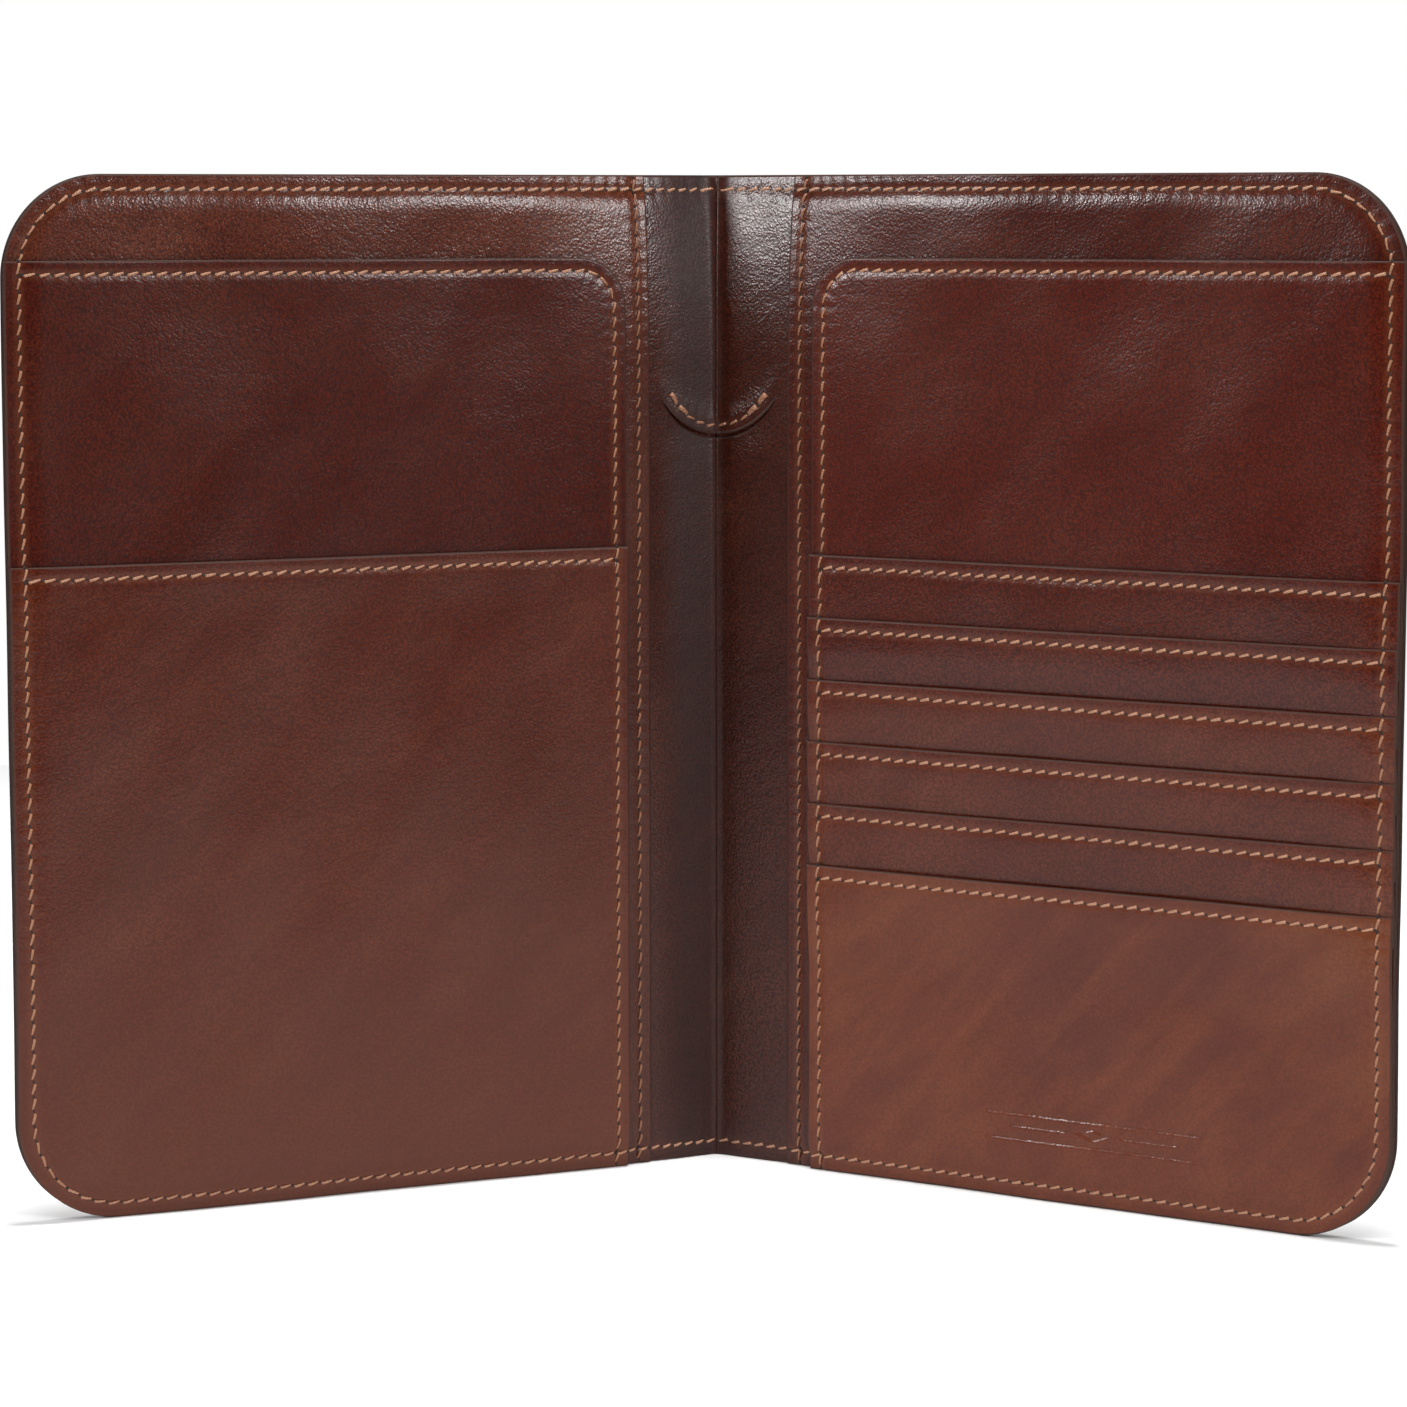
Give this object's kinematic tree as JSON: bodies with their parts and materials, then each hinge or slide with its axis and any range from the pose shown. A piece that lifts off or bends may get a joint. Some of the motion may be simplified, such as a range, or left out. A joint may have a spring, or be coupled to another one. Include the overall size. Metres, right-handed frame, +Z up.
{
  "type": "passport wallet",
  "caption": "Folding leather passport wallet, standing half open, with passport and card pockets on its inner faces and a curved pen slit in its spine.",
  "frame": {"origin": "on the surface the wallet stands on, midway across its width and its depth as it stands half open", "axes": "+X across the open wallet towards its right leaf, +Y away from the reader, +Z up along the fold"},
  "size_m": [0.2004, 0.0608, 0.1524],
  "materials": {
    "outer_leather": "glazed",
    "spine_leather": "glazed",
    "lining_leather": "glazed",
    "pocket_leather": "glazed",
    "board": "bonded fibre board",
    "pocket_cloth": "plain woven",
    "glue": "dried contact cement",
    "thread": "bonded twisted thread"
  },
  "bodies": {
    "spine": {"edge_thread_spine": "thread", "outer_cover_spine": "outer_leather", "pen_slit_thread_crown": "thread", "spine_strip_crown": "spine_leather"},
    "left_leaf": {"edge_thread_left": "thread", "glue_line_short_pocket": "glue", "glue_line_tall_pocket_left": "glue", "lining_panel_left": "lining_leather", "outer_cover_left": "outer_leather", "pen_slit_thread_left": "thread", "seam_thread_left": "thread", "short_pocket_left": "pocket_leather", "short_pocket_thread": "thread", "spine_strip_left": "spine_leather", "stiffener_board_left": "board", "tall_pocket_left": "pocket_leather", "tall_pocket_thread_left": "thread"},
    "right_leaf": {"card_facing_1": "pocket_leather", "card_facing_2": "pocket_leather", "card_facing_3": "pocket_leather", "card_facing_4": "pocket_leather", "card_facing_5": "pocket_leather", "card_front_panel": "pocket_leather", "card_thread_1": "thread", "card_thread_2": "thread", "card_thread_3": "thread", "card_thread_4": "thread", "card_thread_5": "thread", "card_thread_6": "thread", "card_tongue_1": "pocket_cloth", "card_tongue_2": "pocket_cloth", "card_tongue_3": "pocket_cloth", "card_tongue_4": "pocket_cloth", "card_tongue_5": "pocket_cloth", "edge_thread_right": "thread", "glue_line_card_pockets": "glue", "glue_line_tall_pocket_right": "glue", "lining_panel_right": "lining_leather", "outer_cover_right": "outer_leather", "pen_slit_thread_right": "thread", "seam_thread_right": "thread", "spine_strip_right": "spine_leather", "stiffener_board_right": "board", "tall_pocket_right": "pocket_leather", "tall_pocket_thread_right": "thread"}
  },
  "joints": [
    {"name": "left_fold", "type": "hinge", "parent": "spine", "child": "left_leaf", "pos_m": [-0.00461, 0.02525, 0.0762], "axis": [0, 0, 1], "range_deg": [-29, 61]},
    {"name": "right_fold", "type": "hinge", "parent": "spine", "child": "right_leaf", "pos_m": [0.00461, 0.02525, 0.0762], "axis": [0, 0, -1], "range_deg": [-29, 61]}
  ]
}
